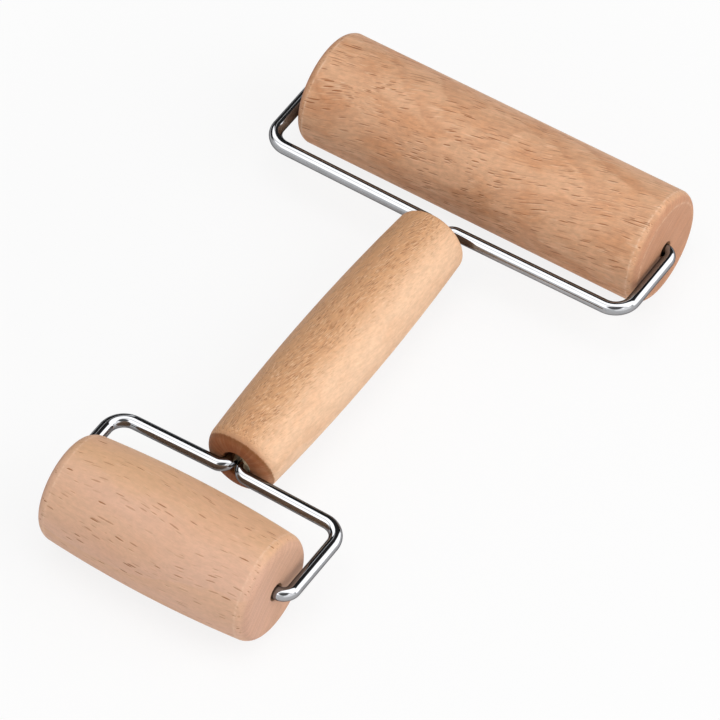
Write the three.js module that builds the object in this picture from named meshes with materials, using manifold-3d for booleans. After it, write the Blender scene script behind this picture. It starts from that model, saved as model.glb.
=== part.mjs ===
// Double-ended wooden hand roller: a turned handle with a wire frame set into each end, a wide straight roller
// in one frame and a shorter barrel-shaped roller in the other. Each frame is one bent steel wire that passes
// through the bore of its roller as the axle and ends in two tails, bonded side by side in the handle's socket.
//
// Millimetres, +Z up. The tool lies with both rollers on the plane z = 0. +X runs along the roller axles and
// +Y along the handle, from the barrel roller to the wide roller. The origin is under the middle of the tool.

import * as THREE from 'three';
import { mergeVertices } from 'three/addons/utils/BufferGeometryUtils.js';
import Module from 'manifold-3d';

// Rollers
const rollerRadius = 16;
const axleSpacing = 150.8;
const boreRadius = 2.5;
const rollerSegments = 60;
const crownPoints = 4.5;
const edgeRoundingSpans = 2;
const wideRoller = { length: 105.6, endRadius: rollerRadius, edgeRounding: 2.4, shift: 0 };
const barrelRoller = { length: 63.6, endRadius: 14.8, edgeRounding: 3, shift: -0.6 };

// Handle, turned about an axis level with the axles
const handle = { narrowEnd: -46.8, wideEnd: 45.3, narrowRadius: 10.4, wideRadius: 10, swellRadius: 12.9 };
const narrowEndRounding = 4.2;
const wideEndRounding = 1.6;
const handleSegments = 48;
const handleCurveSpans = 6;

// Sockets in the handle's ends, and the adhesive that fills them round the wire tails
const socketRadius = 4.2;
const socketDepth = 18;
const adhesiveRecess = 0.6;
const fittingGap = 0.3;
const adhesiveSegments = 32;

// Frames
const wireRadius = 1.85;
const tailGap = 0.3;
const tailDepth = 15;
const cornerRadius = 5.6;
const axleBendRadius = 3;
const tailBendRadius = 2.7;
const bendSpans = 6;
const wireQuadrantSegments = 4;
// Each half of a crossbar leans towards the roller, from its tail to its corner.
const wideFrame = { tailEndOffset: 4.5, cornerOffset: 5, armSpacing: 110.3 };
const narrowFrame = { tailEndOffset: 2.2, cornerOffset: 2.8, armSpacing: 69.1 };

const axleHeight = rollerRadius;
const tailOffset = wireRadius + tailGap / 2;

const wasm = await Module();
wasm.setup();

/** A wooden or other surface: colour, roughness and metalness. */
function finish(color, roughness, metalness = 0) {
  return new THREE.MeshStandardMaterial({ color, roughness, metalness });
}

function namedMesh(name, geometry, material) {
  const mesh = new THREE.Mesh(geometry, material);
  mesh.name = name;
  return mesh;
}

/** A closed geometry as a solid that can be cut. */
function toSolid(geometry) {
  const bare = geometry.clone();
  bare.deleteAttribute('normal');
  bare.deleteAttribute('uv');
  const merged = mergeVertices(bare);
  const vertProperties = new Float32Array(merged.attributes.position.array);
  const triVerts = new Uint32Array(merged.index.array);
  return new wasm.Manifold(new wasm.Mesh({ numProp: 3, vertProperties, triVerts }));
}

function toGeometry(solid) {
  const { vertProperties, triVerts } = solid.getMesh();
  const geometry = new THREE.BufferGeometry();
  geometry.setAttribute('position', new THREE.BufferAttribute(vertProperties, 3));
  geometry.setIndex(new THREE.BufferAttribute(triVerts, 1));
  geometry.computeVertexNormals();
  return geometry;
}

/**
 * A bored roller turned about Y. Its half outline, from the middle of the barrel to the rounded edge, is mirrored
 * to the other end. One flat band of facets points to -Z and stands at the true radius, so the roller rests on it.
 */
function rollerGeometry({ length, endRadius, edgeRounding }) {
  const half = length / 2;
  const crownLength = half - edgeRounding;
  const crownDrop = rollerRadius - endRadius;
  const upper = [];
  if (crownDrop > 0) {
    // The first point stands at the full radius, so that the band across the middle is parallel to the axle.
    for (let point = 0.5; point < crownPoints; point += 1) {
      const along = point / crownPoints;
      const drop = point > 0.5 ? crownDrop * along ** 2 : 0;
      upper.push(new THREE.Vector2(rollerRadius - drop, crownLength * along));
    }
  }
  const edge = new THREE.Path().absarc(endRadius - edgeRounding, crownLength, edgeRounding, 0, Math.PI / 2);
  upper.push(...edge.getPoints(edgeRoundingSpans), new THREE.Vector2(boreRadius, half));
  const lower = upper.map(({ x, y }) => new THREE.Vector2(x, -y)).reverse();
  const outline = [...lower, ...upper, lower[0]];
  const outOfRound = 1 / Math.cos(Math.PI / rollerSegments);
  const drawn = outline.map(({ x, y }) => new THREE.Vector2(x * outOfRound, y));
  return new THREE.LatheGeometry(drawn, rollerSegments, Math.PI / rollerSegments);
}

function roller(name, shape, axleY, material) {
  const mesh = namedMesh(name, rollerGeometry(shape), material);
  mesh.rotation.z = -Math.PI / 2;
  mesh.position.set(shape.shift, axleY, axleHeight);
  return mesh;
}

/** The turned handle: a slow swell between two rounded ends, each end bored for the wire tails. */
function handleGeometry() {
  const { narrowEnd, wideEnd, narrowRadius, wideRadius, swellRadius } = handle;
  const swellStart = narrowEnd + narrowEndRounding;
  const swellEnd = wideEnd - wideEndRounding;
  const outline = new THREE.Path();
  outline.moveTo(0, narrowEnd + socketDepth);
  outline.lineTo(socketRadius, narrowEnd + socketDepth);
  outline.lineTo(socketRadius, narrowEnd);
  outline.absarc(narrowRadius - narrowEndRounding, swellStart, narrowEndRounding, -Math.PI / 2, 0);
  outline.quadraticCurveTo(swellRadius, (swellStart + swellEnd) / 2, wideRadius, swellEnd);
  outline.absarc(wideRadius - wideEndRounding, swellEnd, wideEndRounding, 0, Math.PI / 2);
  outline.lineTo(socketRadius, wideEnd);
  outline.lineTo(socketRadius, wideEnd - socketDepth);
  outline.lineTo(0, wideEnd - socketDepth);
  return new THREE.LatheGeometry(outline.getPoints(handleCurveSpans), handleSegments);
}

/**
 * A level centreline lifted to 3-D. It is sampled at every bend span and only at the ends of each straight,
 * so equal steps of the parameter aren't equal lengths.
 */
class WireCentreline extends THREE.Curve {
  constructor(route) {
    super();
    this.stretches = route.curves.flatMap((curve) => {
      const spans = curve.isEllipseCurve ? bendSpans : 1;
      return Array.from({ length: spans }, (_, span) => ({ curve, span, spans }));
    });
  }

  getPoint(t, target = new THREE.Vector3()) {
    const place = t * this.stretches.length;
    const index = Math.min(Math.floor(place), this.stretches.length - 1);
    const { curve, span, spans } = this.stretches[index];
    const { x, y } = curve.getPoint((span + place - index) / spans);
    return target.set(x, y, 0);
  }

  getPointAt(t, target) {
    return this.getPoint(t, target);
  }

  getTangentAt(t, target) {
    return this.getTangent(t, target);
  }
}

/**
 * One frame's wire, from tail to tail, drawn with the handle's end face at y = 0 and the roller on the +Y side:
 * up a tail, out along half the crossbar, round the corner, up the arm, through the roller and back the same way.
 */
function frameGeometry({ tailEndOffset, cornerOffset, armSpacing }, axleReach) {
  const armX = armSpacing / 2;
  const corners = [
    [-tailOffset, tailEndOffset, tailBendRadius],
    [-armX, cornerOffset, cornerRadius],
    [-armX, axleReach, axleBendRadius],
    [armX, axleReach, axleBendRadius],
    [armX, cornerOffset, cornerRadius],
    [tailOffset, tailEndOffset, tailBendRadius],
  ].map(([x, y, radius]) => ({ point: new THREE.Vector2(x, y), radius }));
  const end = new THREE.Vector2(tailOffset, -tailDepth);
  const route = new THREE.CurvePath();
  let from = new THREE.Vector2(-tailOffset, -tailDepth);
  corners.forEach(({ point, radius }, index) => {
    const next = index < corners.length - 1 ? corners[index + 1].point : end;
    const arriving = point.clone().sub(from).normalize();
    const leaving = next.clone().sub(point).normalize();
    const halfTurn = Math.acos(arriving.dot(leaving)) / 2;
    const bendLength = radius * Math.tan(halfTurn);
    const bendStart = point.clone().addScaledVector(arriving, -bendLength);
    const bendEnd = point.clone().addScaledVector(leaving, bendLength);
    const inward = leaving.clone().sub(arriving).normalize();
    const centre = point.clone().addScaledVector(inward, radius / Math.cos(halfTurn));
    const startAngle = bendStart.clone().sub(centre).angle();
    const endAngle = bendEnd.clone().sub(centre).angle();
    const clockwise = arriving.cross(leaving) < 0;
    route.add(new THREE.LineCurve(from, bendStart));
    route.add(new THREE.EllipseCurve(centre.x, centre.y, radius, radius, startAngle, endAngle, clockwise));
    from = bendEnd;
  });
  route.add(new THREE.LineCurve(from, end));
  const centreline = new WireCentreline(route);
  const section = new THREE.Shape().absarc(0, 0, wireRadius, 0, 2 * Math.PI);
  return new THREE.ExtrudeGeometry(section, {
    extrudePath: centreline,
    steps: centreline.stretches.length,
    curveSegments: 2 * wireQuadrantSegments,
  });
}

/** Set adhesive in one socket, round both tails, drawn with the handle's end face at y = 0 and the mouth at +Y. */
function adhesiveGeometry() {
  const length = socketDepth - fittingGap - adhesiveRecess;
  const plug = new THREE.CylinderGeometry(
    socketRadius - fittingGap, socketRadius - fittingGap, length, adhesiveSegments,
  );
  plug.translate(0, -adhesiveRecess - length / 2, 0);
  let solid = toSolid(plug);
  for (const side of [-1, 1]) {
    const tailRoom = new THREE.CylinderGeometry(
      wireRadius + fittingGap, wireRadius + fittingGap, tailDepth + fittingGap, adhesiveSegments,
    );
    tailRoom.translate(side * tailOffset, -(tailDepth + fittingGap) / 2, 0);
    solid = solid.subtract(toSolid(tailRoom));
  }
  return toGeometry(solid);
}

const beech = finish(0xd2a27c, 0.55);
const paleBeech = finish(0xe0b893, 0.5);
const steel = finish(0xd8d8da, 0.12, 1);
const adhesive = finish(0x8f8a7c, 0.4);

const tool = new THREE.Group();
const handleMesh = namedMesh('handle', handleGeometry(), paleBeech);
handleMesh.position.z = axleHeight;
tool.add(handleMesh);
tool.add(roller('wide_roller', wideRoller, axleSpacing / 2, beech));
tool.add(roller('barrel_roller', barrelRoller, -axleSpacing / 2, beech));

const ends = [
  { side: 'wide', face: handle.wideEnd, shape: wideFrame, turn: 0 },
  { side: 'narrow', face: handle.narrowEnd, shape: narrowFrame, turn: Math.PI },
];
for (const { side, face, shape, turn } of ends) {
  const end = new THREE.Group();
  end.position.set(0, face, axleHeight);
  end.rotation.z = turn;
  end.add(namedMesh(`${side}_frame`, frameGeometry(shape, axleSpacing / 2 - Math.abs(face)), steel));
  end.add(namedMesh(`${side}_socket_adhesive`, adhesiveGeometry(), adhesive));
  tool.add(end);
}

export default tool;
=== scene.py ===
"""Double-ended wooden hand roller in a white studio: turned beech, bent polished wire and set adhesive."""

import math

import bpy
from mathutils import Matrix, Vector


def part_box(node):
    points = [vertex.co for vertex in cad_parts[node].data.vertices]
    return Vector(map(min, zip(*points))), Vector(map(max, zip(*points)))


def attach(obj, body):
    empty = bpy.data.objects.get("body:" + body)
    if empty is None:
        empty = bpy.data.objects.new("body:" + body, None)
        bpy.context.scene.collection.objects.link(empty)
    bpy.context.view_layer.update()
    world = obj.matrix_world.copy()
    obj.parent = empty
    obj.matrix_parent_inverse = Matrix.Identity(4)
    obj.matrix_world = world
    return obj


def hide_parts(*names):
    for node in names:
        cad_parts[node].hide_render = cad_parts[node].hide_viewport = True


MM = 0.001
TOOL = "handle_and_frames"

# What the frame's boxes don't hold, in millimetres, as in the CAD source
BORE_RADIUS = 2.5
SOCKET_RADIUS = 4.2
SOCKET_DEPTH = 18
ADHESIVE_RECESS = 0.6
WIDE_EDGE_ROUNDING = 2.4
BARREL_EDGE_ROUNDING = 3
BARREL_END_RADIUS = 14.8
HANDLE_NARROW_RADIUS = 10.4
HANDLE_WIDE_RADIUS = 10
HANDLE_SWELL_RADIUS = 12.9
HANDLE_NARROW_ROUNDING = 4.2
HANDLE_WIDE_ROUNDING = 1.6
TAIL_OFFSET = 2
TAIL_END_OFFSET = {"wide": 4.5, "narrow": 2.2}
CORNER_OFFSET = {"wide": 5, "narrow": 2.8}
CORNER_RADIUS = 5.6
AXLE_BEND_RADIUS = 3
TAIL_BEND_RADIUS = 2.7

# Finer shapes than the CAD source has, in millimetres
BORE_MOUTH_ROUNDING = 0.15
SOCKET_MOUTH_ROUNDING = 0.2
BEND_FLATTENING = 0.03
ADHESIVE_SIDE_GAP = 0.01
ADHESIVE_END_GAP = 0.05

# The adhesive's uneven face, in millimetres: how far it stands over the recess, how high it creeps at the
# socket's wall and at the wires and how far that reaches, and how deep it is sunk on one side
ADHESIVE_RISE = 0.15
WALL_CREEP = (0.12, 0.35)
TAIL_CREEP = (0.2, 0.3)
SUNK_DEPTH = 2.6

# Arrises of the rollers' rounded edges: their angles at the side and at the end in degrees, the angle that
# gets full pale wear and a full painted highlight line, how far these reach, and where the mesh has more
# stations
WIDE_ARRISES = (14, 8)
BARREL_ARRISES = (11, 0)
FULL_WEAR_AND_HIGHLIGHT_BREAK = 20
WEAR_AND_HIGHLIGHT_REACH = 0.3
GUARD_REACHES = (0.04, 0.16, 0.35, 0.6)

# Fineness of the meshes
TURNED_SEGMENTS = 240
STATION_STEP = 1.2
END_FACE_STEP = 0.6
HOLE_STEP = 4
ARC_STEPS = 10
MOUTH_STEPS = 3
NARROW_ROUNDING_STEPS = 16
WIRE_SEGMENTS = 64
BEND_STEPS = 28
ADHESIVE_RINGS = 22
ADHESIVE_SPOKES = 96

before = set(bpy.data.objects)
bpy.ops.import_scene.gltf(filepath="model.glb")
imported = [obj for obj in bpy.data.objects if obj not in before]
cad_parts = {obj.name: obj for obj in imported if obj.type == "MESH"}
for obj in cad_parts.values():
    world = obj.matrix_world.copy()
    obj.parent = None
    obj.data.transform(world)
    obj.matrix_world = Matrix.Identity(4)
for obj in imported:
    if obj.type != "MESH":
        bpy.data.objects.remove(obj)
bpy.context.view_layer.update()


def box_mm(node):
    """A CAD node's lowest and highest corners in millimetres."""
    low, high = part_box(node)
    return low / MM, high / MM


# ---------------------------------------------------------------- meshes


def new_piece(name, vertices, faces, material, body, node, attributes=()):
    """A smooth-shaded piece from vertices in millimetres, standing for one CAD node.

    attributes is a list of (name, type, one value for each vertex).
    """
    mesh = bpy.data.meshes.new(name)
    mesh.from_pydata([Vector(v) * MM for v in vertices], [], faces)
    mesh.validate()
    for label, kind, values in attributes:
        layer = mesh.attributes.new(label, kind, "POINT")
        field = "vector" if kind == "FLOAT_VECTOR" else "value"
        for item, value in zip(layer.data, values):
            setattr(item, field, value)
    mesh.shade_smooth()
    mesh.materials.append(material)
    piece = bpy.data.objects.new(name, mesh)
    bpy.context.scene.collection.objects.link(piece)
    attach(piece, body)
    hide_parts(node)
    return piece


def straight(start, end, step=STATION_STEP):
    """Points from start up to, but not including, end."""
    start, end = Vector(start), Vector(end)
    count = max(1, round((end - start).length / step))
    return [start.lerp(end, i / count) for i in range(count)]


def arc(centre, radius, start_deg, end_deg, steps=ARC_STEPS):
    """Points round an arc, with both ends."""
    points = []
    for i in range(steps + 1):
        angle = math.radians(start_deg + (end_deg - start_deg) * i / steps)
        points.append(Vector(centre) + radius * Vector((math.cos(angle), math.sin(angle))))
    return points


def worn(outline, arrises, closed):
    """Adds stations close to each arris, so that it stays crisp, and finds how worn every point is, which
    also sets its painted highlight.

    arrises maps a point of the outline, as a frozen vector, to how strongly it is worn and given a painted
    highlight.
    """
    count = len(outline)
    points = []
    for i, point in enumerate(outline):
        after = outline[(i + 1) % count]
        points.append(point)
        if not closed and i == count - 1:
            break
        length = (after - point).length
        reaches = [reach for reach in GUARD_REACHES if reach < length / 2]
        if point.copy().freeze() in arrises:
            points += [point.lerp(after, reach / length) for reach in reaches]
        if after.copy().freeze() in arrises:
            points += [after.lerp(point, reach / length) for reach in reversed(reaches)]
    wear_and_highlight = []
    for point in points:
        shares = [0]
        for arris, share in arrises.items():
            shares.append(share * math.exp(-(((point - arris).length / WEAR_AND_HIGHLIGHT_REACH) ** 2)))
        wear_and_highlight.append(max(shares))
    return points, wear_and_highlight


def turned(outline, arrises, place, closed):
    """Turns an outline of (radius, along) points, in millimetres.

    place(across_a, across_b, along) gives the point in the row frame. A closed outline makes a bored piece.
    An open one starts and ends on the axis. Returns vertices, faces and the attributes of each vertex: its
    coordinates in the wood, the way it faces there, and how worn it is, which also sets its painted
    highlight.
    """
    vertices, faces, wood, facing, wear_and_highlight_values, rings = [], [], [], [], [], []
    outline, wear_and_highlight = worn(outline, arrises, closed)
    count = len(outline)
    for i, point in enumerate(outline):
        before = outline[i - 1] if closed or i > 0 else point
        after = outline[(i + 1) % count] if closed or i < count - 1 else point
        run = (after - before).normalized()
        spokes = TURNED_SEGMENTS if point.x > 1e-6 else 1
        rings.append([len(vertices) + k for k in range(spokes)])
        for k in range(spokes):
            angle = 2 * math.pi * k / TURNED_SEGMENTS
            c, s = math.cos(angle), math.sin(angle)
            vertices.append(place(point.x * c, point.x * s, point.y))
            wood.append((point.x * c, point.x * s, point.y))
            facing.append((run.y * c, run.y * s, -run.x))
            wear_and_highlight_values.append(wear_and_highlight[i])
    uppers = rings[1:] + rings[:1] if closed else rings[1:]
    for lower, upper in zip(rings, uppers):
        for k in range(TURNED_SEGMENTS):
            after = (k + 1) % TURNED_SEGMENTS
            face = [lower[k % len(lower)], lower[after % len(lower)]]
            face += [upper[after % len(upper)], upper[k % len(upper)]]
            faces.append(list(dict.fromkeys(face)))
    vectors = [("wood", "FLOAT_VECTOR", wood), ("facing", "FLOAT_VECTOR", facing)]
    return vertices, faces, [*vectors, ("wear_and_highlight", "FLOAT", wear_and_highlight_values)]


# ---------------------------------------------------------------- materials


class Graph:
    """Short calls for building one node tree."""

    def __init__(self, tree):
        self.tree = tree

    def node(self, kind, inputs=None, **settings):
        made = self.tree.nodes.new(kind)
        for key, value in settings.items():
            setattr(made, key, value)
        for key, value in (inputs or {}).items():
            self.feed(made.inputs[key], value)
        return made

    def feed(self, socket, value):
        if isinstance(value, bpy.types.NodeSocket):
            self.tree.links.new(value, socket)
        else:
            socket.default_value = value

    def attribute(self, name, output="Vector"):
        return self.node("ShaderNodeAttribute", attribute_name=name).outputs[output]

    def axes(self, vector):
        return tuple(self.node("ShaderNodeSeparateXYZ", {"Vector": vector}).outputs)

    def math(self, operation, *values):
        made = self.node("ShaderNodeMath", operation=operation)
        for socket, value in zip(made.inputs, values):
            self.feed(socket, value)
        return made.outputs[0]

    def times(self, a, b):
        return self.math("MULTIPLY", a, b)

    def ramp(self, value, low, high, to_low=0.0, to_high=1.0):
        """A smooth step of value between low and high."""
        inputs = {"Value": value, "From Min": low, "From Max": high, "To Min": to_low, "To Max": to_high}
        return self.node("ShaderNodeMapRange", inputs, interpolation_type="SMOOTHSTEP").outputs[0]

    def vector(self, x, y, z):
        return self.node("ShaderNodeCombineXYZ", {"X": x, "Y": y, "Z": z}).outputs[0]

    def stretched(self, axes, sizes):
        """The coordinates, each divided by the size of the pattern along it."""
        return self.vector(*(self.math("DIVIDE", axis, size) for axis, size in zip(axes, sizes)))

    def noise(self, axes, sizes, detail=2.0, roughness=0.5):
        place = self.stretched(axes, sizes)
        inputs = {"Vector": place, "Scale": 1.0, "Detail": detail, "Roughness": roughness}
        return self.node("ShaderNodeTexNoise", inputs).outputs["Fac"]

    def cells(self, axes, sizes):
        """Distance to the nearest cell's centre, and three random numbers for that cell."""
        inputs = {"Vector": self.stretched(axes, sizes), "Scale": 1.0, "Randomness": 1.0}
        made = self.node("ShaderNodeTexVoronoi", inputs)
        split = self.node("ShaderNodeSeparateColor", {"Color": made.outputs["Color"]})
        return made.outputs["Distance"], split.outputs

    def mix(self, factor, a, b, blend="MIX"):
        made = self.node("ShaderNodeMix", data_type="RGBA", blend_type=blend)
        colour_a, colour_b = made.inputs[6], made.inputs[7]
        self.feed(made.inputs[0], factor)
        self.feed(colour_a, a)
        self.feed(colour_b, b)
        return made.outputs[2]

    def stain(self, amount, tone, stain):
        """The tone, multiplied by a stain where amount is 1."""
        return self.mix(amount, tone, stain, blend="MULTIPLY")

    def shade(self, tone, brightness):
        return self.stain(1.0, tone, self.vector(brightness, brightness, brightness))


def new_material(name):
    """A material, the graph of its node tree and its surface shader."""
    material = bpy.data.materials.new(name)
    material.use_nodes = True
    return material, Graph(material.node_tree), material.node_tree.nodes["Principled BSDF"]


def rgb(red, green, blue):
    """A colour given as it shows on screen, from 0 to 255, as linear RGBA."""

    def linear(value):
        value /= 255
        return value / 12.92 if value <= 0.04045 else ((value + 0.055) / 1.055) ** 2.4

    return (linear(red), linear(green), linear(blue), 1.0)


# Noise lies mostly between these two values
NOISE_LOW, NOISE_HIGH = 0.3, 0.7

# Patterns in the wood: their sizes across the piece, both ways, and along it, in millimetres
WANDER_SIZE = (20, 20, 30)
RING_BEND_SIZE = (22, 22, 30)
RING_RIPPLE_SIZE = (5, 5, 9)
MOTTLE_SIZE = (1.1, 1.1, 2)
CROWD_SIZE = (5, 5, 12)
PORE_SIZE = (0.3, 0.3, 40)
# The wavering edge of the painted shade on the handle's narrow end:
END_SHADE_EDGE_WAVER_SIZE = (0.6, 0.6, 0.6)
CHIP_SIZE = (0.9, 0.9, 0.9)
# The saw's arcs go by the distance from the pith, and the rays in the painted end shade by the angle round
# the axis, in radians
SAW_ARC_SIZE = (0.7, 40, 40)
END_SHADE_RAY_SIZE = (0.1, 4, 4)

# How far slow patterns shift finer ones, in millimetres
WANDER = 6
RING_BEND = 16
RING_RIPPLE = 2.4
# How far the edge of the painted shade on the handle's narrow end wavers:
END_SHADE_EDGE_WAVER = 0.5

# How many times larger the coarse fibres are than the fine ones, how many times longer the long flecks are
# than the others, and how far a fleck's painted highlight, on its lip, lies from it in millimetres
COARSE_FIBRE = 4
LONG_FLECK = 2
FLECK_HIGHLIGHT_OFFSET = 0.2

FLECK_TINT = (0.54, 0.38, 0.26, 1)
# The colour of the painted highlight on each fleck's lip
LIP_HIGHLIGHT_COLOUR = rgb(250, 222, 190)
# The painted shade on the handle's narrow end, and its darker band just inside the edge
END_SHADE_TINT = (0.62, 0.43, 0.31, 1)
END_SHADE_EDGE_TINT = (0.72, 0.7, 0.62, 1)
# Pale worn arrises, also painted as highlight lines along the edges
WORN_AND_HIGHLIGHT_BEECH = rgb(240, 206, 176)
# Painted shade on the wood where the wires mirror it
MIRRORED_SHADE_TINT = (0.5, 0.54, 0.58, 1)


class Grain:
    """The coordinates of one piece's wood, in millimetres: a and b across the piece, and along it.

    straight runs true with the piece. leaning wanders slowly one way and then the other, and turns about
    the axis by twist radians for each millimetre along, so that flecks and fibres lean along the surface.
    squarely goes from 0 where the surface runs along the grain to 1 where it cuts across.
    """

    def __init__(self, graph, twist):
        self.a, self.b, self.along = graph.axes(graph.attribute("wood"))
        self.straight = (self.a, self.b, self.along)
        facing_along = graph.axes(graph.attribute("facing"))[2]
        self.squarely = graph.ramp(graph.math("ABSOLUTE", facing_along), 0.45, 0.8)
        crossed = (self.b, self.a, self.along)
        a = graph.math("MULTIPLY_ADD", graph.noise(self.straight, WANDER_SIZE, detail=1), WANDER, self.a)
        b = graph.math("MULTIPLY_ADD", graph.noise(crossed, WANDER_SIZE, detail=1), WANDER, self.b)
        turn = graph.times(self.along, twist)
        cosine, sine = graph.math("COSINE", turn), graph.math("SINE", turn)
        turned_a = graph.math("SUBTRACT", graph.times(a, cosine), graph.times(b, sine))
        turned_b = graph.math("ADD", graph.times(a, sine), graph.times(b, cosine))
        self.leaning = (turned_a, turned_b, self.along)


def growth_rings(graph, grain, pith, ring_width):
    """The distance from the pith line, and how dark the late wood is there, which varies with the year."""
    from_pith_a = graph.math("SUBTRACT", grain.a, pith[0])
    from_pith_b = graph.math("SUBTRACT", grain.b, pith[1])
    squares = graph.math("MULTIPLY_ADD", from_pith_a, from_pith_a, graph.times(from_pith_b, from_pith_b))
    pith_distance = graph.math("SQRT", squares)
    slow_bend = graph.times(graph.noise(grain.straight, RING_BEND_SIZE, detail=1), RING_BEND)
    quick_bend = graph.times(graph.noise(grain.straight, RING_RIPPLE_SIZE), RING_RIPPLE)
    bent = graph.math("ADD", pith_distance, graph.math("ADD", slow_bend, quick_bend))
    ring = graph.math("DIVIDE", bent, ring_width)
    phase = graph.math("FRACT", ring)
    late_wood = graph.times(graph.ramp(phase, 0.2, 0.9), graph.ramp(phase, 1.0, 0.92))
    year = graph.node("ShaderNodeTexWhiteNoise", {"W": graph.math("FLOOR", ring)}, noise_dimensions="1D")
    strength = graph.math("MULTIPLY_ADD", year.outputs["Value"], 0.8, 0.35)
    return pith_distance, graph.times(late_wood, strength)


def ray_flecks(graph, axes, sizes, side, spread):
    """How strongly a fleck shows at a place in the wood.

    sizes is a list of (size, share of cells with a fleck), side is how strongly any fleck may show, and a
    higher spread leaves more of them faint.
    """
    shown = 0.0
    for size, share in sizes:
        distance, random = graph.cells(axes, size)
        kept = graph.times(graph.math("LESS_THAN", random[0], share), side)
        strong = graph.math("MULTIPLY_ADD", graph.math("POWER", random[1], spread), 0.85, 0.15)
        needle = graph.times(graph.ramp(distance, 0.5, 0.3), kept)
        shown = graph.math("MAXIMUM", shown, graph.times(needle, strong))
    return shown


def painted_end_shade(graph, grain, tone, slope_a, slope_b, place):
    """Painted shade on the tone beyond a sloping plane, where the surface turns away from the light,
    streaked in rays round the axis and darker again just inside its edge.
    """
    level = graph.math("MULTIPLY_ADD", grain.b, slope_b, grain.along)
    level = graph.math("MULTIPLY_ADD", grain.a, slope_a, level)
    level = graph.math("MULTIPLY_ADD", graph.noise(grain.straight, END_SHADE_EDGE_WAVER_SIZE), END_SHADE_EDGE_WAVER, level)
    in_end_shade = graph.ramp(level, place + 0.45, place + 0.05)
    around = graph.math("ARCTAN2", grain.a, grain.b)
    shade_rays = graph.noise((around, grain.along, grain.along), END_SHADE_RAY_SIZE, detail=4, roughness=0.6)
    shade_rays = graph.ramp(shade_rays, NOISE_LOW, NOISE_HIGH, 0.75, 1.1)
    tone = graph.stain(graph.times(in_end_shade, shade_rays), tone, END_SHADE_TINT)
    shade_edge = graph.times(in_end_shade, graph.ramp(level, place - 0.9, place - 0.1))
    return graph.stain(shade_edge, tone, END_SHADE_EDGE_TINT)


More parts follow.
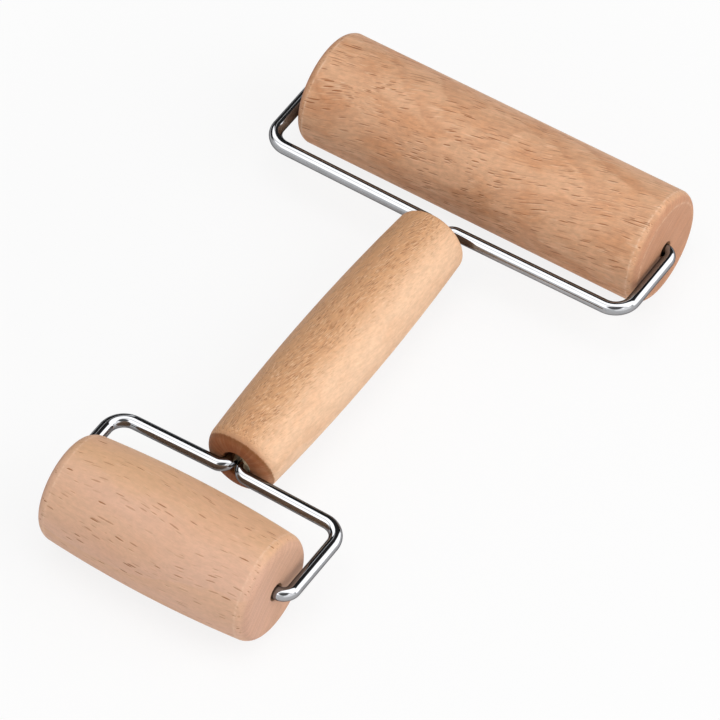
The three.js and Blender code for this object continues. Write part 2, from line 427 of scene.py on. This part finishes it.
def beech(name, *, pale, tan, rust, pith, ring_width, ring_depth, patch_size, patch_depth, fleck_size,
          fleck_share, fleck_depth, fleck_spread, crowding, lip_highlight_gain, fibre_size, fibre_depth, relief_depth,
          end_tint, twist=0, long_share=0, tone_sweep=None, end_shade=None):
    """Oiled beech: growth rings round a pith line beside the piece, ray flecks, fibres and darker end grain.

    Lengths are in millimetres, and pith is where the pith line crosses the piece's end. twist is explained
    in Grain. long_share is how many of the flecks are long ones. heart is (direction across the piece,
    place where the wood is tan, place where it is pale, strength of the flecks there). burnish is a plane,
    (slope across a, slope across b, place along), and beyond it the wood gets painted shade, where the
    handle's narrow end turns away from the light.
    """
    material, graph, surface = new_material(name)
    grain = Grain(graph, twist)
    sides = graph.ramp(grain.squarely, 0.6, 0.1)
    base = pale
    # A sweep from the tan tone to the pale one across the piece; on the handle it grows paler towards +X
    if tone_sweep:
        direction, tan_place, pale_place, strength = tone_sweep
        sweep_place = {"a": grain.a, "b": grain.b}[direction]
        base = graph.mix(graph.ramp(sweep_place, tan_place, pale_place), tan, pale)
        sides = graph.times(sides, graph.ramp(sweep_place, tan_place, pale_place, 1, strength))

    # Growth rings, and broad patches where the wood is redder
    pith_distance, late_wood = growth_rings(graph, grain, pith, ring_width)
    patch = graph.ramp(graph.noise(grain.straight, patch_size, detail=3, roughness=0.55), 0.42, 0.7)
    tone = graph.mix(graph.times(late_wood, ring_depth), base, tan)
    tone = graph.mix(graph.times(patch, patch_depth), tone, rust)

    # Fibres, fine and coarse, and a fine mottle
    fibre = graph.noise(grain.leaning, fibre_size, detail=3, roughness=0.65)
    coarse_fibre = graph.noise(grain.leaning, [COARSE_FIBRE * size for size in fibre_size], detail=2)
    streak = graph.math("MULTIPLY_ADD", fibre, 0.55, graph.times(coarse_fibre, 0.45))
    mottle = graph.noise(grain.leaning, MOTTLE_SIZE, detail=3, roughness=0.65)
    darkest, brightest = 1 - fibre_depth, 1 + fibre_depth
    for pattern in (streak, mottle):
        tone = graph.shade(tone, graph.ramp(pattern, NOISE_LOW, NOISE_HIGH, darkest, brightest))

    # Ray flecks: dark needles along the grain, each with a painted highlight on its lip, crowded in places
    # and mostly faint
    crowd = graph.noise(grain.leaning, CROWD_SIZE, detail=1)
    wanted = graph.times(graph.ramp(crowd, 0.35, 0.65, 1 - crowding, 1 + crowding), fleck_share)
    sizes = [(fleck_size, wanted)]
    if long_share:
        long_size = (*fleck_size[:2], LONG_FLECK * fleck_size[2])
        sizes.append((long_size, graph.times(wanted, long_share)))
    fleck = ray_flecks(graph, grain.leaning, sizes, sides, fleck_spread)
    # A painted highlight beside each fleck, offset the same way everywhere, as if light caught its lip
    beside = [graph.math("ADD", axis, FLECK_HIGHLIGHT_OFFSET) for axis in grain.leaning[:2]]
    lip = ray_flecks(graph, (*beside, grain.along), sizes, sides, fleck_spread)
    tone = graph.mix(graph.times(lip, lip_highlight_gain), tone, LIP_HIGHLIGHT_COLOUR)
    tone = graph.stain(graph.times(fleck, fleck_depth), tone, FLECK_TINT)

    # End grain: darker and plainer, with the pores as dots and the saw's faint arcs
    pore, _ = graph.cells(grain.straight, PORE_SIZE)
    saw = graph.noise((pith_distance, grain.along, grain.along), SAW_ARC_SIZE, detail=2)
    dots = graph.ramp(pore, 0.1, 0.42, 0.82, 1.0)
    dots = graph.times(dots, graph.ramp(saw, NOISE_LOW, NOISE_HIGH, 0.93, 1.05))
    ends = graph.mix(0.7, tone, graph.mix(0.3, pale, rust))
    ends = graph.shade(graph.stain(1.0, ends, end_tint), dots)
    tone = graph.mix(grain.squarely, tone, ends)
    # Painted shade on the handle's narrow end, beyond a plane where its rounding turns away from the light
    if end_shade:
        tone = painted_end_shade(graph, grain, tone, *end_shade)

    # Arrises worn pale in broken lines, which also paints highlight lines along the rollers' edges
    chips = graph.ramp(graph.noise(grain.straight, CHIP_SIZE, detail=3), 0.4, 0.62, 0.15, 0.75)
    tone = graph.mix(graph.times(graph.attribute("wear_and_highlight", "Fac"), chips), tone, WORN_AND_HIGHLIGHT_BEECH)

    # Painted shade in the wires' reflections: there the wood is darker and greyer than it looks directly,
    # standing in for its shaded back and underside
    mirrored = graph.node("ShaderNodeLightPath").outputs["Is Glossy Ray"]
    tone = graph.stain(mirrored, tone, MIRRORED_SHADE_TINT)
    graph.feed(surface.inputs["Base Color"], tone)

    rough = graph.math("MULTIPLY_ADD", coarse_fibre, 0.16, 0.42)
    graph.feed(surface.inputs["Roughness"], graph.math("MULTIPLY_ADD", grain.squarely, 0.14, rough))
    graph.feed(surface.inputs["Specular IOR Level"], 0.3)
    relief = graph.math("MULTIPLY_ADD", streak, 0.7, graph.times(fleck, -0.9))
    relief = graph.math("ADD", relief, graph.times(graph.times(dots, grain.squarely), 0.8))
    bump = graph.node("ShaderNodeBump", {"Height": relief, "Distance": relief_depth * MM, "Strength": 0.8})
    graph.feed(surface.inputs["Normal"], bump.outputs["Normal"])
    return material


def polished_wire():
    """Bright drawn steel: a mirror with faint drawing lines along the wire and a slow waviness."""
    material, graph, surface = new_material("polished_wire")
    axes = graph.axes(graph.attribute("wire"))
    lines = graph.noise(axes, (0.05, 0.05, 6), detail=2)
    waves = graph.noise(axes, (3, 3, 9), detail=1)
    haze = graph.ramp(graph.noise(axes, (1.5, 1.5, 5), detail=3), 0.35, 0.75)
    tint = graph.mix(haze, rgb(178, 179, 182), rgb(168, 169, 171))
    graph.feed(surface.inputs["Base Color"], tint)
    graph.feed(surface.inputs["Metallic"], 1.0)
    graph.feed(surface.inputs["Specular Tint"], (0.15, 0.15, 0.16, 1))
    graph.feed(surface.inputs["Roughness"], graph.math("MULTIPLY_ADD", haze, 0.04, 0.05))
    relief = graph.math("ADD", graph.times(lines, 0.04), waves)
    bump = graph.node("ShaderNodeBump", {"Height": relief, "Distance": 0.05 * MM, "Strength": 0.5})
    graph.feed(surface.inputs["Normal"], bump.outputs["Normal"])
    return material


def set_adhesive():
    """Grey-brown resin, half dull, with dust and small bubbles in it, its tones painted paler to stand in
    for light that its shaded socket lacks.
    """
    material, graph, surface = new_material("set_adhesive")
    axes = graph.axes(graph.node("ShaderNodeTexCoord").outputs["Object"])
    cloud = graph.noise(axes, (1.2 * MM,) * 3, detail=4)
    bubble, random = graph.cells(axes, (0.5 * MM,) * 3)
    seen = graph.times(graph.ramp(bubble, 0.3, 0.2), graph.math("LESS_THAN", random[0], 0.3))
    # Both tones are painted paler than the resin, as painted light in its shaded socket
    tone = graph.mix(graph.ramp(cloud, 0.35, 0.65), rgb(186, 174, 144), rgb(222, 210, 180))
    tone = graph.mix(graph.times(seen, 0.5), tone, rgb(96, 82, 64))
    graph.feed(surface.inputs["Base Color"], tone)
    graph.feed(surface.inputs["Roughness"], graph.math("MULTIPLY_ADD", cloud, 0.25, 0.35))
    relief = graph.math("SUBTRACT", cloud, seen)
    bump = graph.node("ShaderNodeBump", {"Height": relief, "Distance": 0.1 * MM})
    graph.feed(surface.inputs["Normal"], bump.outputs["Normal"])
    return material


# ---------------------------------------------------------------- rollers and handle


def edge_arc(corner, rounding, start_break, end_break):
    """A convex arc from the side to the end round a square corner, stretched to span the rounding both ways.

    It meets them with slight arrises, whose angles in degrees are start_break and end_break. 0 is none.
    """
    points = arc((0, 0), 1, start_break, 90 - end_break)
    first, last = points[0], points[-1]
    place = corner - Vector((rounding, rounding))
    across, along = first.x - last.x, last.y - first.y
    return [place + Vector(((p.x - last.x) / across, (p.y - first.y) / along)) * rounding for p in points]


def roller_outline(radius, half, end_radius, rounding, start_break, end_break):
    """Closed outline of a bored roller, and its arrises: crowned side, rounded edges, flat ends and bore."""
    crown_length = half - rounding
    count = round(crown_length / STATION_STEP)
    upper = []
    for i in range(count):
        share = i / count
        upper.append(Vector((radius - (radius - end_radius) * share**2, crown_length * share)))
    edge = edge_arc(Vector((end_radius, half)), rounding, start_break, end_break)
    mouth = BORE_RADIUS + BORE_MOUTH_ROUNDING
    upper += edge[:-1]
    upper += straight(edge[-1], (mouth, half))
    upper += arc((mouth, half - BORE_MOUTH_ROUNDING), BORE_MOUTH_ROUNDING, 90, 180, MOUTH_STEPS)
    upper += straight((BORE_RADIUS, half - 2 * BORE_MOUTH_ROUNDING), (BORE_RADIUS, 0), HOLE_STEP)
    lower = [Vector((point.x, -point.y)) for point in reversed(upper[1:])]
    arrises = {}
    for point, angle in ((edge[0], start_break), (edge[-1], end_break)):
        for side in (-1, 1):
            if angle:
                arrises[Vector((point.x, side * point.y)).freeze()] = angle / FULL_WEAR_AND_HIGHLIGHT_BREAK
    return upper + [Vector((BORE_RADIUS, 0))] + lower, arrises


def make_roller(name, node, body, end_radius, rounding, breaks, material):
    """A bored roller. end_radius is None if it is straight, and breaks are its arrises, as in edge_arc."""
    low, high = box_mm(node)
    centre, size = (low + high) / 2, high - low
    radius, half = size.z / 2, size.x / 2
    outline, arrises = roller_outline(radius, half, end_radius or radius, rounding, *breaks)

    def place(across_a, across_b, along):
        return centre + Vector((along, across_a, across_b))

    vertices, faces, attributes = turned(outline, arrises, place, closed=True)
    return new_piece(name, vertices, faces, material, body, node, attributes)


def handle_swell(swell_start, swell_end):
    """The handle's side between its rounded ends, without them: a quadratic curve."""
    controls = (
        Vector((HANDLE_NARROW_RADIUS, swell_start)),
        Vector((HANDLE_SWELL_RADIUS, (swell_start + swell_end) / 2)),
        Vector((HANDLE_WIDE_RADIUS, swell_end)),
    )
    count = round((swell_end - swell_start) / STATION_STEP)
    points = []
    for i in range(1, count):
        early, late = (controls[k].lerp(controls[k + 1], i / count) for k in (0, 1))
        points.append(early.lerp(late, i / count))
    return points


def handle_outline(narrow_end, wide_end):
    """Open outline from the bottom of the narrow socket over the side to the bottom of the wide socket."""
    narrow_centre = Vector((HANDLE_NARROW_RADIUS, narrow_end))
    narrow_centre += Vector((-HANDLE_NARROW_ROUNDING, HANDLE_NARROW_ROUNDING))
    wide_centre = Vector((HANDLE_WIDE_RADIUS - HANDLE_WIDE_ROUNDING, wide_end - HANDLE_WIDE_ROUNDING))
    narrow_bottom = narrow_end + SOCKET_DEPTH
    wide_bottom = wide_end - SOCKET_DEPTH
    lip = SOCKET_MOUTH_ROUNDING
    mouth = SOCKET_RADIUS + lip
    outline = [Vector((0, narrow_bottom))]
    outline += straight((SOCKET_RADIUS, narrow_bottom), (SOCKET_RADIUS, narrow_end + lip), HOLE_STEP)
    outline += arc((mouth, narrow_end + lip), lip, 180, 270, MOUTH_STEPS)
    outline += straight((mouth, narrow_end), (narrow_centre.x, narrow_end), END_FACE_STEP)[1:]
    outline += arc(narrow_centre, HANDLE_NARROW_ROUNDING, -90, 0, NARROW_ROUNDING_STEPS)
    outline += handle_swell(narrow_centre.y, wide_centre.y)
    outline += arc(wide_centre, HANDLE_WIDE_ROUNDING, 0, 90)
    outline += straight((wide_centre.x, wide_end), (mouth, wide_end), END_FACE_STEP)[1:]
    outline += arc((mouth, wide_end - lip), lip, 90, 180, MOUTH_STEPS)
    outline += straight((SOCKET_RADIUS, wide_end - lip), (SOCKET_RADIUS, wide_bottom), HOLE_STEP)[1:]
    outline += [Vector((SOCKET_RADIUS, wide_bottom)), Vector((0, wide_bottom))]
    return outline


def make_handle(material):
    low, high = box_mm("handle")
    axis_height = (low.z + high.z) / 2
    outline = handle_outline(low.y, high.y)

    def place(across_a, across_b, along):
        return Vector((across_b, along, axis_height + across_a))

    vertices, faces, attributes = turned(outline, {}, place, closed=False)
    return new_piece("turned_handle", vertices, faces, material, TOOL, "handle", attributes)


# ---------------------------------------------------------------- frames


def frame_route(start, corners, end):
    """A level wire's centreline, as (point, direction, bend, distance from the start) at each station.

    bend is 0 on a straight and 1 in the middle of a bend. corners is a list of (point, bend radius).
    """
    stations, travelled, here = [], 0.0, Vector(start)
    points = [Vector(point) for point, _ in corners] + [Vector(end)]
    for point, after, (_, radius) in zip(points, points[1:], corners):
        arriving = (point - here).normalized()
        leaving = (after - point).normalized()
        turn = arriving.angle(leaving)
        bend_start = point - arriving * radius * math.tan(turn / 2)
        centre = point + (leaving - arriving).normalized() * radius / math.cos(turn / 2)
        out = (bend_start - centre).normalized()
        for place in straight(here, bend_start):
            stations.append((place, arriving, 0.0, travelled + (place - here).length))
        travelled += (bend_start - here).length
        for i in range(BEND_STEPS):
            angle = turn * i / BEND_STEPS
            direction = arriving * math.cos(angle) - out * math.sin(angle)
            place = centre + radius * (arriving * math.sin(angle) + out * math.cos(angle))
            bend = math.sin(math.pi * i / BEND_STEPS)
            stations.append((place, direction, bend, travelled + radius * angle))
        travelled += radius * turn
        here = point + leaving * radius * math.tan(turn / 2)
    end = points[-1]
    direction = (end - here).normalized()
    for place in straight(here, end) + [end]:
        stations.append((place, direction, 0.0, travelled + (place - here).length))
    return stations


def make_frame(side, material):
    """One bent wire: tail, half crossbar, arm, axle, arm, half crossbar, tail."""
    low, high = box_mm(f"{side}_frame")
    wire_radius = (high.z - low.z) / 2
    height = (high.z + low.z) / 2
    outward = 1 if side == "wide" else -1
    handle_low, handle_high = box_mm("handle")
    handle_end = handle_high.y if side == "wide" else handle_low.y
    tail_y = low.y if side == "wide" else high.y
    axle_y = high.y - wire_radius if side == "wide" else low.y + wire_radius
    tail_end_y = handle_end + outward * TAIL_END_OFFSET[side]
    corner_y = handle_end + outward * CORNER_OFFSET[side]
    arm_x = high.x - wire_radius
    corners = [
        ((-TAIL_OFFSET, tail_end_y), TAIL_BEND_RADIUS),
        ((-arm_x, corner_y), CORNER_RADIUS),
        ((-arm_x, axle_y), AXLE_BEND_RADIUS),
        ((arm_x, axle_y), AXLE_BEND_RADIUS),
        ((arm_x, corner_y), CORNER_RADIUS),
        ((TAIL_OFFSET, tail_end_y), TAIL_BEND_RADIUS),
    ]
    stations = frame_route((-TAIL_OFFSET, tail_y), corners, (TAIL_OFFSET, tail_y))
    vertices, faces, wire = [], [], []
    for point, direction, bend, distance in stations:
        sideways = Vector((-direction.y, direction.x, 0))
        flat = wire_radius * (1 - BEND_FLATTENING * bend)
        for k in range(WIRE_SEGMENTS):
            angle = 2 * math.pi * k / WIRE_SEGMENTS
            c, s = math.cos(angle), math.sin(angle)
            out = sideways * c * flat + Vector((0, 0, s * wire_radius))
            vertices.append(Vector((*point, height)) + out)
            wire.append((wire_radius * c, wire_radius * s, distance))
    for ring in range(len(stations) - 1):
        base = ring * WIRE_SEGMENTS
        for k in range(WIRE_SEGMENTS):
            after = (k + 1) % WIRE_SEGMENTS
            faces.append([base + k, base + WIRE_SEGMENTS + k, base + WIRE_SEGMENTS + after, base + after])
    faces.append(list(range(WIRE_SEGMENTS)))
    last = (len(stations) - 1) * WIRE_SEGMENTS
    faces.append([last + k for k in reversed(range(WIRE_SEGMENTS))])
    attributes = [("wire", "FLOAT_VECTOR", wire)]
    return new_piece(
        f"{side}_wire", vertices, faces, material, TOOL, f"{side}_frame", attributes
    )


def adhesive_face(x, z, wall, wire_radius):
    """How far the adhesive's face stands in front of the handle's end: a negative number.

    It creeps up the socket's wall and the two tails, swirls a little, and is sunk towards -X and +Z.
    """
    from_wall = wall - math.hypot(x, z)
    from_tail = min(abs(math.hypot(x - side * TAIL_OFFSET, z) - wire_radius) for side in (-1, 1))
    creep = 0
    for distance, (height, reach) in ((from_wall, WALL_CREEP), (from_tail, TAIL_CREEP)):
        creep += height * math.exp(-distance / reach)
    swirl = 0.06 * math.sin(2.1 * x + 1.3 * z + 0.7) + 0.05 * math.sin(3.7 * z - 1.9 * x)
    sunk = SUNK_DEPTH / (1 + math.exp(2.2 * (x - 0.45 * z)))
    return ADHESIVE_RISE - ADHESIVE_RECESS - sunk + creep + swirl


def make_adhesive(side, material):
    """The set adhesive in one socket: a plug whose uneven face is drawn as rings from its middle out."""
    low, high = box_mm("handle")
    outward = 1 if side == "wide" else -1
    mouth = high.y if side == "wide" else low.y
    height = (low.z + high.z) / 2
    wire_low, wire_high = box_mm(f"{side}_frame")
    wire_radius = (wire_high.z - wire_low.z) / 2
    wall = SOCKET_RADIUS - ADHESIVE_SIDE_GAP
    bottom = mouth - outward * (SOCKET_DEPTH - ADHESIVE_END_GAP)
    turns = [2 * math.pi * k / ADHESIVE_SPOKES for k in range(ADHESIVE_SPOKES)]
    vertices = [Vector((0, mouth + outward * adhesive_face(0, 0, wall, wire_radius), height))]
    for ring in range(1, ADHESIVE_RINGS + 1):
        radius = wall * ring / ADHESIVE_RINGS
        for angle in turns:
            x, z = radius * math.cos(angle), radius * math.sin(angle)
            face = mouth + outward * adhesive_face(x, z, wall, wire_radius)
            vertices.append(Vector((x, face, height + z)))
    for angle in turns:
        vertices.append(Vector((wall * math.cos(angle), bottom, height + wall * math.sin(angle))))
    vertices.append(Vector((0, bottom, height)))
    faces = []
    last_ring = 1 + ADHESIVE_RINGS * ADHESIVE_SPOKES
    for k in range(ADHESIVE_SPOKES):
        after = (k + 1) % ADHESIVE_SPOKES
        faces.append([0, 1 + k, 1 + after])
        for inner in range(1, last_ring, ADHESIVE_SPOKES):
            outer = inner + ADHESIVE_SPOKES
            faces.append([inner + k, outer + k, outer + after, inner + after])
        faces.append([last_ring + k, len(vertices) - 1, last_ring + after])
    if outward > 0:
        faces = [face[::-1] for face in faces]
    node = f"{side}_socket_adhesive"
    return new_piece(f"{side}_adhesive", vertices, faces, material, TOOL, node)


# ---------------------------------------------------------------- studio

# The floor: half its width in metres, its colour, how much of the backdrop's white it shows under the tool,
# and between which distances from there, in metres, that grows to all
FLOOR_REACH = 12
FLOOR_WHITE = (0.85, 0.85, 0.85, 1)
FLOOR_GLOW = 0.84
FLOOR_FADE = (0.08, 0.3)

# The camera: azimuth, elevation and roll in degrees, distance from its aim in metres, and its aim and lens
# in millimetres
CAMERA_ANGLES = (32.52, 49.75, 0.86)
CAMERA_DISTANCE = 1.759
CAMERA_AIM = (7.04, -0.15, 16)
FOCAL_LENGTH = 342.1
SENSOR_WIDTH = 36

# Softboxes: name, place and size in metres, and power in watts
SOFTBOXES = (
    ("key", (0.95, 0.15, 0.5), 1.1, 7.6),
    ("overhead", (0.1, -0.15, 1.15), 0.8, 4.9),
    ("front", (-0.15, -1.0, 0.1), 0.8, 2.8),
)

# What the wires mirror: dark walls, bright panels and a dark gap round the camera. A panel is its strength
# and its soft edges, each as (component of the direction, where it is dark, where it is bright).
DARK_WALL = 0.03
PANELS = (
    (2.6, ("y", 0.46, 0.4), ("y", -0.15, -0.08), ("z", 0.4, 0.5)),
    (1.5, ("y", 0.0, -0.1), ("z", 0.4, 0.5)),
    (2.6, ("y", -0.26, -0.34), ("z", 0.4, 0.5)),
    (1.0, ("y", -0.15, -0.45)),
    (2.6, ("x", 0.24, 0.34), ("y", 0.1, 0.2), ("z", 0.8, 0.72)),
    (1.5, ("x", 0.3, 0.6), ("y", 0.3, -0.1)),
    (1.1, ("x", -0.4, -0.42), ("x", -0.49, -0.46), ("y", 0.45, 0.5)),
)
CAMERA_GAP = (0.96, 0.88)
CAMERA_GAP_LIGHT = 0.06

# The even light on everything else: the heights between which it grows, and its strength there
AMBIENT_HEIGHTS = (0.02, 0.6)
AMBIENT_LIGHT = (0.06, 0.45)


def toward_camera():
    """Direction from the tool to the camera."""
    azimuth, elevation, _ = (math.radians(angle) for angle in CAMERA_ANGLES)
    level = math.cos(elevation)
    return Vector((math.sin(azimuth) * level, -math.cos(azimuth) * level, math.sin(elevation)))


def make_floor():
    """A wide white floor that fades to the colour of the backdrop."""
    mesh = bpy.data.meshes.new("floor")
    corners = [(x * FLOOR_REACH, y * FLOOR_REACH, 0) for x, y in ((-1, -1), (1, -1), (1, 1), (-1, 1))]
    mesh.from_pydata(corners, [], [(0, 1, 2, 3)])
    floor = bpy.data.objects.new("floor", mesh)
    bpy.context.scene.collection.objects.link(floor)
    material, graph, surface = new_material("floor_white")
    graph.feed(surface.inputs["Base Color"], FLOOR_WHITE)
    graph.feed(surface.inputs["Roughness"], 0.9)
    graph.feed(surface.inputs["Specular IOR Level"], 0.1)
    place = graph.node("ShaderNodeTexCoord").outputs["Object"]
    away = graph.node("ShaderNodeVectorMath", {0: place}, operation="LENGTH").outputs["Value"]
    glow = graph.node("ShaderNodeEmission", {"Color": (1, 1, 1, 1), "Strength": 1.0})
    seen = graph.node("ShaderNodeLightPath").outputs["Is Camera Ray"]
    fade = graph.times(graph.ramp(away, *FLOOR_FADE, FLOOR_GLOW, 1.0), seen)
    blend = graph.node("ShaderNodeMixShader", {0: fade, 1: surface.outputs[0], 2: glow.outputs[0]})
    graph.feed(graph.tree.nodes["Material Output"].inputs["Surface"], blend.outputs[0])
    mesh.materials.append(material)


def make_world():
    """A white backdrop for the camera, dark walls and bright panels for reflections, and for all else an
    even pale light that darkens towards the horizon."""
    world = bpy.data.worlds.new("studio")
    bpy.context.scene.world = world
    world.use_nodes = True
    graph = Graph(world.node_tree)
    direction = graph.node("ShaderNodeTexCoord").outputs["Generated"]
    components = dict(zip("xyz", graph.axes(direction)))
    reflected = DARK_WALL
    for strength, *edges in PANELS:
        for component, dark, bright in edges:
            strength = graph.times(graph.ramp(components[component], dark, bright), strength)
        reflected = graph.math("MAXIMUM", reflected, strength)
    pair = {0: direction, 1: toward_camera()}
    alignment = graph.node("ShaderNodeVectorMath", pair, operation="DOT_PRODUCT").outputs["Value"]
    reflected = graph.times(reflected, graph.ramp(alignment, *CAMERA_GAP, CAMERA_GAP_LIGHT, 1))
    ambient = graph.ramp(components["z"], *AMBIENT_HEIGHTS, *AMBIENT_LIGHT)
    path = graph.node("ShaderNodeLightPath").outputs
    glossy, direct = path["Is Glossy Ray"], path["Is Camera Ray"]
    other = graph.times(graph.math("SUBTRACT", 1.0, glossy), ambient)
    strength = graph.math("MAXIMUM", graph.math("ADD", graph.times(glossy, reflected), other), direct)
    background = graph.tree.nodes["Background"]
    graph.feed(background.inputs["Color"], (1, 1, 1, 1))
    graph.feed(background.inputs["Strength"], strength)


def make_softbox(name, place, size, power):
    """A square area light that points at the tool. It is hidden from the camera and from reflections."""
    data = bpy.data.lights.new(name, "AREA")
    data.shape = "SQUARE"
    data.size = size
    data.energy = power
    light = bpy.data.objects.new(name, data)
    light.location = place
    light.rotation_euler = Vector(place).to_track_quat("Z", "Y").to_euler()
    light.visible_camera = False
    light.visible_glossy = False
    bpy.context.scene.collection.objects.link(light)


def make_camera():
    azimuth, _, roll = (math.radians(angle) for angle in CAMERA_ANGLES)
    back = toward_camera()
    level = Vector((math.cos(azimuth), math.sin(azimuth), 0))
    above = back.cross(level)
    right = level * math.cos(roll) + above * math.sin(roll)
    up = back.cross(right)
    data = bpy.data.cameras.new("camera")
    data.lens = FOCAL_LENGTH
    data.sensor_width = SENSOR_WIDTH
    camera = bpy.data.objects.new("camera", data)
    place = Vector(CAMERA_AIM) * MM + back * CAMERA_DISTANCE
    camera.matrix_world = Matrix.Translation(place) @ Matrix((right, up, back)).transposed().to_4x4()
    bpy.context.scene.collection.objects.link(camera)
    bpy.context.scene.camera = camera


# ---------------------------------------------------------------- the tool in its studio

wide_beech = beech(
    "wide_roller_beech", pale=rgb(216, 168, 132), tan=rgb(191, 135, 98), rust=rgb(198, 138, 95),
    pith=(26, -36), ring_width=4.6, ring_depth=0.45, patch_size=(8, 8, 15), patch_depth=0.6,
    fleck_size=(0.42, 0.42, 4.6), fleck_share=0.32, fleck_depth=1.2, fleck_spread=2, crowding=0.45,
    lip_highlight_gain=0.3, fibre_size=(0.24, 0.24, 2.4), fibre_depth=0.08, relief_depth=0.07,
    end_tint=(0.8, 0.74, 0.76, 1), twist=0.014, long_share=0.3,
)
barrel_beech = beech(
    "barrel_roller_beech", pale=rgb(219, 176, 150), tan=rgb(215, 170, 133), rust=rgb(213, 165, 136),
    pith=(30, -38), ring_width=7, ring_depth=0.5, patch_size=(12, 12, 24), patch_depth=0.4,
    fleck_size=(0.5, 0.5, 4.0), fleck_share=0.19, fleck_depth=1.05, fleck_spread=1.7, crowding=0.15,
    lip_highlight_gain=0.16, fibre_size=(0.24, 0.24, 2.4), fibre_depth=0.045, relief_depth=0.06,
    end_tint=(0.87, 0.85, 0.87, 1), tone_sweep=("a", 3, -9, 1),
)
# The handle's beech paints shade on its narrow end, beyond a sloping plane
handle_beech = beech(
    "handle_beech", pale=rgb(231, 192, 158), tan=rgb(208, 158, 116), rust=rgb(206, 152, 111),
    pith=(40, 24), ring_width=9, ring_depth=0.3, patch_size=(6, 6, 12), patch_depth=0.25,
    fleck_size=(0.3, 0.3, 2.1), fleck_share=0.8, fleck_depth=0.85, fleck_spread=1.2, crowding=0.3,
    lip_highlight_gain=0.4, fibre_size=(0.3, 0.3, 1.4), fibre_depth=0.06, relief_depth=0.12,
    end_tint=(0.8, 0.72, 0.68, 1), twist=-0.01, tone_sweep=("b", 0.5, 10, 0.12), end_shade=(0.2, 0.04, -44.15),
)
steel = polished_wire()
resin = set_adhesive()

make_roller("wide_wooden_roller", "wide_roller", "wide_roller_body", None,
            WIDE_EDGE_ROUNDING, WIDE_ARRISES, wide_beech)
make_roller("barrel_wooden_roller", "barrel_roller", "barrel_roller_body", BARREL_END_RADIUS,
            BARREL_EDGE_ROUNDING, BARREL_ARRISES, barrel_beech)
make_handle(handle_beech)
for side in ("wide", "narrow"):
    make_frame(side, steel)
    make_adhesive(side, resin)

make_floor()
make_world()
for softbox in SOFTBOXES:
    make_softbox(*softbox)
make_camera()
bpy.context.scene.view_settings.view_transform = "Standard"
